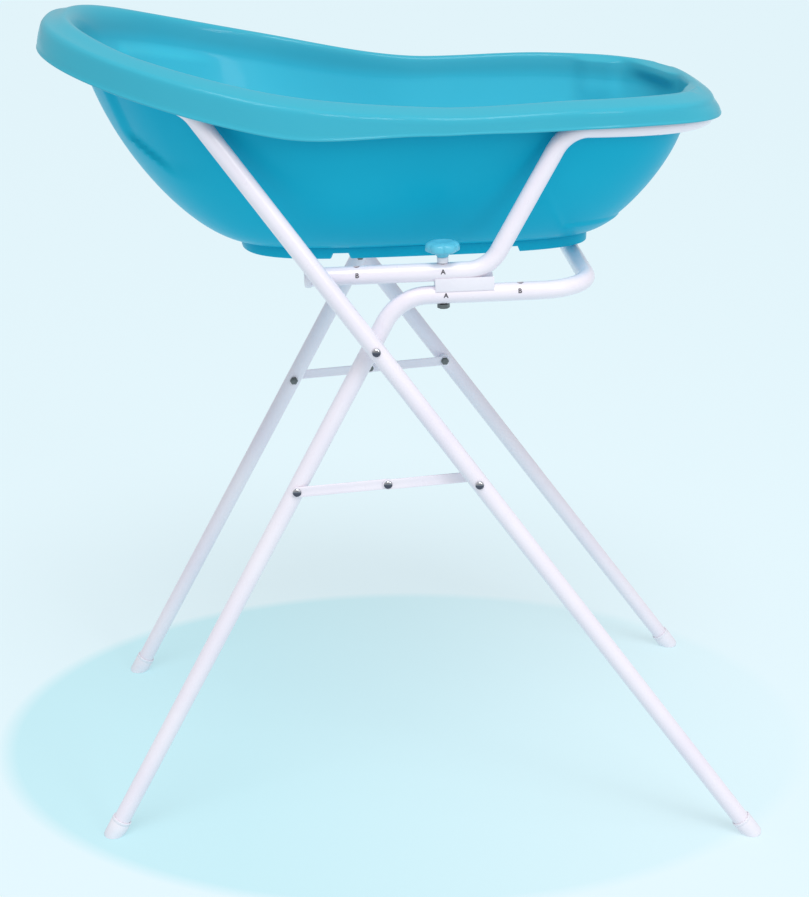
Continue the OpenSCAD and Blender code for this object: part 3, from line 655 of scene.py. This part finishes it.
def makeFeet(name, source, angle, splay, half, forward):
    shapes = []
    r, bore = legs["capRadius"], legs["tubeRadius"] + legs["capPlay"]
    top = -legs["capLength"] + r
    # reach along the leg from its end, radius
    lip = [(top + 0.9, bore), (top, bore + 0.18), (top, r - 0.7), (top + 0.25, r - 0.2), (top + 0.9, r)]
    body = [(top + 3.4, r), (top + 3.9, r - 0.35), (top + 4.6, r - 0.35), (top + 5.1, r - 0.05)]
    low = [
        (2, r - 0.05), (8, r - 0.05), (12, r - 0.05), (15, r - 0.6), (17.5, r - 2.2), (19.2, r - 4.6), (20, r - 8),
    ]
    for side in (-1, 1):
        along = legDirection(angle, splay, forward, side)
        reach = (legs["tubeEndZ"] - legs["pivotZ"]) / along.z
        end = Vector((0, side * half, legs["pivotZ"])) + along * reach
        rings = lathe(lip + body + low, end, along)
        rings = [[(x, y, max(z, 0.0)) for x, y, z in ring] for ring in rings]  # cut flat by the floor
        points, faces = joinRings(rings)
        count = len(rings[0])
        faces.append(tuple(range(len(points) - count, len(points))))
        inner = lathe([(top + 0.9, bore), (top + legs["capDepth"], bore)], end, along)
        innerPoints, innerFaces = joinRings(inner)
        innerFaces.append(tuple(range(len(innerPoints) - count, len(innerPoints))))
        shapes += [(points, faces), (innerPoints, innerFaces)]
    piece = makePiece(name, *mergeShapes(shapes), "white_plastic")
    turnOutwards(piece.data, 40)
    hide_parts(source)
    return piece


headCaps = makeFeet("headFrameCaps", "head_frame_feet", legs["headAngle"], legs["headSplay"], legs["headHalf"], 1)
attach(headCaps, "head_frame")
footCaps = makeFeet("footFrameCaps", "foot_frame_feet", legs["footAngle"], legs["footSplay"], legs["footHalf"], -1)
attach(footCaps, "stand")

platform = dict(rise=54.5, slope=1.8, half=210.257, gap=5.8, restEnd=-75, plugRadius=12.5, holeA=82)
restLift = (2 * legs["tubeRadius"] + platform["gap"]) / math.cos(math.radians(platform["slope"]))


def platformZ(x):
    return legs["pivotZ"] + platform["rise"] + math.tan(math.radians(platform["slope"])) * x


def makePlugs():
    slope = math.radians(platform["slope"])
    along = Vector((-math.cos(slope), 0, -math.sin(slope)))
    shapes = []
    r = platform["plugRadius"]
    profile = [
        (-14, 8.2), (-14, 9.6), (0.1, 9.6), (0.1, r - 0.6), (0.5, r - 0.1), (1.2, r), (5.2, r), (6.6, r - 0.5),
        (7.6, r - 1.7), (8.05, r - 3.6), (8.1, 4),
    ]
    for side in (-1, 1):
        end = Vector((platform["restEnd"], side * platform["half"], platformZ(platform["restEnd"]) + restLift))
        shapes.append(closedLathe(lathe(profile, end, along)))
    piece = makePiece("restPlugs", *mergeShapes(shapes), "white_plastic")
    turnOutwards(piece.data, 40)
    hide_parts("foot_rest_plugs")
    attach(piece, "stand")


makePlugs()

knob = dict(
    radius=20.5, lobes=6, lobeDepth=0.13, lobePower=0.75, height=19, headHeight=12, stemRadius=6.75,
    bottom=46.25,  # above the middle line of the platform's tube
)


def makeKnob(name, source, body, side):
    slope = math.radians(platform["slope"])
    up = Vector((-math.sin(slope), 0, math.cos(slope)))
    right = Vector((math.cos(slope), 0, math.sin(slope)))
    out = up.cross(right)
    base = Vector((platform["holeA"], side * platform["half"], platformZ(platform["holeA"]))) + up * knob["bottom"]
    stem = knob["height"] - knob["headHeight"]
    h, r, neck = knob["height"], knob["radius"], knob["stemRadius"]
    # height, radius, how far the lobes show
    profile = [
        (0.0, 4.3, 0), (0.0, neck - 0.4, 0), (0.3, neck, 0), (stem * 0.5, neck + 2.2, 0.1),
        (stem - 0.6, 12.0, 0.3), (stem, 13.6, 0.5), (stem + 0.2, r - 1.6, 1), (stem + 0.9, r - 0.5, 1),
        (stem + 2.2, r, 1), (h - 6.0, r, 1), (h - 4.0, r - 0.5, 1), (h - 2.6, r - 1.7, 1), (h - 1.5, r - 4.0, 0.95),
        (h - 0.8, r - 7.0, 0.7), (h - 0.35, r - 10.0, 0.4), (h - 0.5, r - 12.5, 0.15), (h - 1.0, r - 14.2, 0),
        (h - 1.2, r - 16.5, 0), (h - 1.2, 1.0, 0),
    ]
    rings = []
    for z, radius, show in profile:
        ring = []
        for a in evenTurns(120):
            wave = abs(math.cos(knob["lobes"] * a / 2)) ** knob["lobePower"]
            reach = radius * (1 - knob["lobeDepth"] * show * (1 - wave))
            ring.append(tuple(base + up * z + (right * math.cos(a) + out * math.sin(a)) * reach))
        rings.append(ring)
    piece = makePiece(name, *closedLathe(rings), "knob_turquoise")
    turnOutwards(piece.data, 50)
    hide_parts(source)
    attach(piece, body)


makeKnob("handKnobFront", "knob_front", "knob_front", -1)
makeKnob("handKnobBack", "knob_back", "knob_back", 1)
for source, name, body, width in (
    ("saddle_front", "saddleFront", "stand", 1.6), ("saddle_back", "saddleBack", "stand", 1.6),
    ("collar_front", "knobCollarFront", "collar_front", 0.7), ("collar_back", "knobCollarBack", "collar_back", 0.7),
    ("head_link_front", "headLinkFront", "head_links", 0.5), ("head_link_back", "headLinkBack", "head_links", 0.5),
    ("foot_link_front", "footLinkFront", "foot_links", 0.5), ("foot_link_back", "footLinkBack", "foot_links", 0.5),
    ("pivot_spacers", "pivotWashers", "stand", 0.8), ("foot_link_spacers", "linkWashers", "head_frame", 0.8),
):
    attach(softened(source, name, width), body)
print("plastic parts made")


# bolts and nuts, set out by Geometry Nodes
class Layout:
    def __init__(self, name, inputs):
        self.tree = bpy.data.node_groups.new(name, "GeometryNodeTree")
        self.tree.interface.new_socket("Geometry", in_out="INPUT", socket_type="NodeSocketGeometry")
        self.tree.interface.new_socket("Geometry", in_out="OUTPUT", socket_type="NodeSocketGeometry")
        for key, value in inputs.items():
            kind = "NodeSocketMaterial" if key == "Material" else "NodeSocketFloat"
            socket = self.tree.interface.new_socket(key, in_out="INPUT", socket_type=kind)
            if kind == "NodeSocketFloat":
                socket.default_value = value
        self.source = self.tree.nodes.new("NodeGroupInput")
        self.end = self.tree.nodes.new("NodeGroupOutput")

    def given(self, name):
        return self.source.outputs[name]

    def add(self, kind, settings=None, sockets=None, out=0):
        node = self.tree.nodes.new(kind)
        for key, value in (settings or {}).items():
            setattr(node, key, value)
        for key, value in (sockets or {}).items():
            for item in value if isinstance(value, list) else [value]:
                if isinstance(item, bpy.types.NodeSocket):
                    self.tree.links.new(item, node.inputs[key])
                else:
                    node.inputs[key].default_value = item
        return node.outputs[out]

    def maths(self, operation, first, second):
        return self.add("ShaderNodeMath", dict(operation=operation), {0: first, 1: second})

    def close(self, shape):
        turn = self.add("GeometryNodeInputNamedAttribute", dict(data_type="FLOAT"), {"Name": "turn"})
        euler = self.add("ShaderNodeCombineXYZ", None, {"X": turn})
        rotation = self.add("FunctionNodeEulerToRotation", None, {0: euler})
        spots = self.add("GeometryNodeInstanceOnPoints", None, {
            "Points": self.given("Geometry"), "Instance": shape, "Rotation": rotation,
        })
        real = self.add("GeometryNodeRealizeInstances", None, {0: spots})
        dressed = self.add("GeometryNodeSetMaterial", None, {
            "Geometry": real, "Material": self.given("Material"),
        })
        self.tree.links.new(dressed, self.end.inputs[0])
        return self.tree


def tubeShape(layout, radius, depth, start, vertices=32):
    shape = layout.add("GeometryNodeMeshCylinder", None, {
        "Vertices": vertices, "Radius": radius, "Depth": depth,
    })
    half = layout.maths("MULTIPLY", depth, 0.5)
    middle = layout.add("ShaderNodeCombineXYZ", None, {"Z": layout.maths("ADD", start, half)})
    return layout.add("GeometryNodeTransform", None, {"Geometry": shape, "Translation": middle})


def boltLayout():
    sizes = {
        "Head Radius": 5.25 * mm, "Head Height": 3.2 * mm, "Shaft Radius": 3 * mm, "Shaft Length": 30 * mm,
        "Material": None,
    }
    t = Layout("domedBolts", sizes)
    ball = t.add("GeometryNodeMeshUVSphere", None, {"Segments": 40, "Rings": 28, "Radius": 1.0})
    place = t.add("GeometryNodeInputPosition")
    parts = t.tree.nodes.new("ShaderNodeSeparateXYZ")
    t.tree.links.new(place, parts.inputs[0])
    raised = t.maths("MAXIMUM", parts.outputs[2], 0.0)
    raised = t.maths("MULTIPLY", t.maths("POWER", raised, 0.8), t.given("Head Height"))
    spot = t.add("ShaderNodeCombineXYZ", None, {
        "X": t.maths("MULTIPLY", parts.outputs[0], t.given("Head Radius")),
        "Y": t.maths("MULTIPLY", parts.outputs[1], t.given("Head Radius")), "Z": raised})
    head = t.add("GeometryNodeSetPosition", None, {"Geometry": ball, "Position": spot})
    start = t.maths("MULTIPLY", t.given("Shaft Length"), -1.0)
    shaft = tubeShape(t, t.given("Shaft Radius"), t.given("Shaft Length"), start, 24)
    return t.close(t.add("GeometryNodeJoinGeometry", None, {0: [head, shaft]}))


def nutLayout():
    sizes = {
        "Nut Radius": 5.77 * mm, "Nut Height": 5 * mm, "Bolt Radius": 3 * mm, "Bolt End": 1.5 * mm,
        "Material": None,
    }
    t = Layout("lockNuts", sizes)
    high, radius = t.given("Nut Height"), t.given("Nut Radius")
    body = tubeShape(t, radius, t.maths("MULTIPLY", high, 0.66), t.maths("MULTIPLY", high, 0.04), 6)
    # the washer face, the crown and its lip: shares of the nut's radius, height and where they start
    rounds = [
        tubeShape(
            t, t.maths("MULTIPLY", radius, wide), t.maths("MULTIPLY", high, tall), t.maths("MULTIPLY", high, start),
        )
        for wide, tall, start in ((0.84, 0.08, 0.0), (0.8, 0.27, 0.68), (0.68, 0.06, 0.94))
    ]
    end = tubeShape(t, t.given("Bolt Radius"), t.given("Bolt End"), high, 24)
    return t.close(t.add("GeometryNodeJoinGeometry", None, {0: [body, *rounds, end]}))


boltTree, nutTree = boltLayout(), nutLayout()


def setOut(name, tree, spots, sizes, slot):
    mesh = bpy.data.meshes.new(name)
    mesh.from_pydata([s[0] for s in spots], [], [])
    turn = mesh.attributes.new("turn", "FLOAT", "POINT")
    for k, s in enumerate(spots):
        turn.data[k].value = s[1]
    piece = bpy.data.objects.new(name, mesh)
    bpy.context.scene.collection.objects.link(piece)
    modifier = piece.modifiers.new("layout", "NODES")
    modifier.node_group = tree
    for item in tree.interface.items_tree:
        if item.in_out == "INPUT" and item.name in sizes:
            modifier[item.identifier] = sizes[item.name] * mm
        elif item.in_out == "INPUT" and item.name == "Material":
            modifier[item.identifier] = finish[slot]
    bpy.context.view_layer.update()
    baked = bpy.data.meshes.new_from_object(piece.evaluated_get(bpy.context.evaluated_depsgraph_get()))
    piece.modifiers.clear()
    piece.data = baked
    smooth(baked, 38)
    if slot == "chrome":  # how far each point faces up, for the painted shade on the underside
        facing = baked.attributes.new("facing", "FLOAT", "POINT")
        facing.data.foreach_set("value", [v.normal.z for v in baked.vertices])
    return piece


def middleOf(node):
    low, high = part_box(node)
    return (low[0] + high[0]) / 2, (low[2] + high[2]) / 2, high[1]


def boltsOn(name, source, body, headHeight, length):
    x, z, reach = middleOf(source)
    base = reach - headHeight * mm
    spots = [((x, side * base, z), -side * math.pi / 2) for side in (-1, 1)]
    piece = setOut(name, boltTree, spots, {"Head Height": headHeight, "Shaft Length": length}, "chrome")
    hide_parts(source)
    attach(piece, body)


def nutsOn(name, source, body, height, boltEnd):
    x, z, reach = middleOf(source)
    spots = [((x, side * reach, z), side * math.pi / 2) for side in (-1, 1)]
    piece = setOut(name, nutTree, spots, {"Nut Height": height, "Bolt End": boltEnd}, "dark_zinc")
    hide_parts(source)
    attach(piece, body)


boltsOn("pivotBolts", "pivot_bolts", "stand", 3.2, 55)
boltsOn("headLinkBolts", "head_link_bolts", "stand", 2.6, 24)
boltsOn("footLinkBolts", "foot_link_bolts", "head_frame", 3.2, 32)
boltsOn("middleBolts", "middle_bolts", "foot_links", 2.6, 2.1)
nutsOn("pivotNuts", "pivot_nuts", "stand", 5, 1.5)
nutsOn("headLinkNuts", "head_link_nuts", "stand", 5, 1.5)
nutsOn("footLinkNuts", "foot_link_nuts", "head_frame", 2.8, 0.1)
nutsOn("middleNuts", "middle_nuts", "head_links", 2.8, 0.1)
print("bolts and nuts made")


# letters that mark the two length settings
marks = dict(
    height=8.0, lift=0.28, thicken=0.2,
    # letter, x, whether it is on the upper tube, height on the tube
    spots=(("A", 80.5, 1, 2.4), ("B", -21, 1, 2.2), ("A", 84.3, 0, 1.2), ("B", 172.3, 0, 3.2)),
)


def makeMarks():
    points, faces = [], []
    for letter, x, upper, raised in marks["spots"]:
        data = bpy.data.curves.new("letter", "FONT")
        data.body, data.size, data.offset = letter, marks["height"], marks["thicken"]
        data.align_x, data.align_y = "CENTER", "CENTER"
        holder = bpy.data.objects.new("letter", data)
        bpy.context.scene.collection.objects.link(holder)
        flat = bpy.data.meshes.new_from_object(holder.evaluated_get(bpy.context.evaluated_depsgraph_get()))
        bpy.data.objects.remove(holder)
        work = bmesh.new()
        work.from_mesh(flat)
        bmesh.ops.subdivide_edges(work, edges=work.edges, cuts=3, use_grid_fill=True)
        axisZ = platformZ(x) + (restLift if upper else 0)
        radius = legs["tubeRadius"] + marks["lift"]
        for side in (-1, 1):
            start = len(points)
            for v in work.verts:
                angle = (v.co.y + raised) / radius
                out = platform["half"] + radius * math.cos(angle)
                points.append(inFrame((x - side * v.co.x, side * out, axisZ + radius * math.sin(angle))))
            faces += [tuple(start + v.index for v in f.verts) for f in work.faces]
        work.free()
    mesh = bpy.data.meshes.new("settingMarks")
    mesh.from_pydata(points, [], faces)
    piece = bpy.data.objects.new("settingMarks", mesh)
    bpy.context.scene.collection.objects.link(piece)
    mesh.materials.append(markInk(inkLook))
    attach(piece, "stand")


makeMarks()
print("marks made")


# floor and light
studio = dict(
    floor=paint(225, 243, 249), patch=paint(197, 235, 243), glow=0.665, floorPaint=0.38,
    patchPlace=(-0.01, -0.07, 0), patchScale=(1.72, 2.17, 1.0), floorBox=(-14, 14, -8, 18), floorZ=-0.0004,
    world=(0.99, 0.985, 0.99, 1), worldPower=0.58,
    sunTurn=(math.radians(31), math.radians(-4), math.radians(8)), sunPower=1.2, sunSoftness=math.radians(30),
)
# place, target, size, power
softboxes = dict(
    windowBox=((2.4, -3.2, 2.7), (0, 0, 0.9), (0.6, 1.8), 26),
    topBox=((0.1, -0.7, 2.5), (0.05, 0.25, 0.9), (1.2, 0.5), 6),
)


def makeFloor():
    r = Recipe("paleFloor")
    spot = r.add("ShaderNodeMapping", None, {
        "Vector": r.place(), "Location": studio["patchPlace"], "Scale": studio["patchScale"],
    })
    apart = r.add("ShaderNodeVectorMath", dict(operation="LENGTH"), {0: spot}, out=1)
    patch = r.ramp(apart, [(0.0, grey(1)), (0.95, grey(1)), (1.0, grey(0))])
    across = r.add("ShaderNodeSeparateXYZ", None, {0: spot})
    fade = r.ramp(across * 0.5 + 0.5, [(0.0, grey(1)), (0.3, grey(0.9)), (0.98, grey(0.12))])
    colour = r.mixed(patch * fade, studio["floor"], studio["patch"])
    r.finish(
        Base_Color=r.mixed(1 - studio["floorPaint"], colour, grey(0)), Roughness=0.8, Specular_IOR_Level=0.0,
        Emission_Color=colour, Emission_Strength=studio["glow"],
    )
    mesh = bpy.data.meshes.new("studioFloor")
    left, right, near, far = studio["floorBox"]
    corners = [(x, y, studio["floorZ"]) for x, y in ((left, near), (right, near), (right, far), (left, far))]
    mesh.from_pydata(corners, [], [(0, 1, 2, 3)])
    mesh.materials.append(r.material)
    floor = bpy.data.objects.new("studioFloor", mesh)
    bpy.context.scene.collection.objects.link(floor)


def addSun(name, turn, power, softness):
    data = bpy.data.lights.new(name, "SUN")
    data.energy, data.angle = power, softness
    light = bpy.data.objects.new(name, data)
    light.rotation_euler = turn
    bpy.context.scene.collection.objects.link(light)


def addSoftbox(name, place, target, size, power):
    data = bpy.data.lights.new(name, "AREA")
    data.shape, data.size, data.size_y, data.energy = "RECTANGLE", size[0], size[1], power
    light = bpy.data.objects.new(name, data)
    light.location = place
    light.rotation_mode = "QUATERNION"
    light.rotation_quaternion = (Vector(target) - Vector(place)).to_track_quat("-Z", "Y")
    bpy.context.scene.collection.objects.link(light)


makeFloor()
world = bpy.data.worlds.new("paleRoom")
bpy.context.scene.world = world
world.use_nodes = True
world.node_tree.nodes["Background"].inputs[0].default_value = studio["world"]
world.node_tree.nodes["Background"].inputs[1].default_value = studio["worldPower"]
addSun("softSun", studio["sunTurn"], studio["sunPower"], studio["sunSoftness"])
for boxName, boxValues in softboxes.items():
    addSoftbox(boxName, *boxValues)
print("studio made")
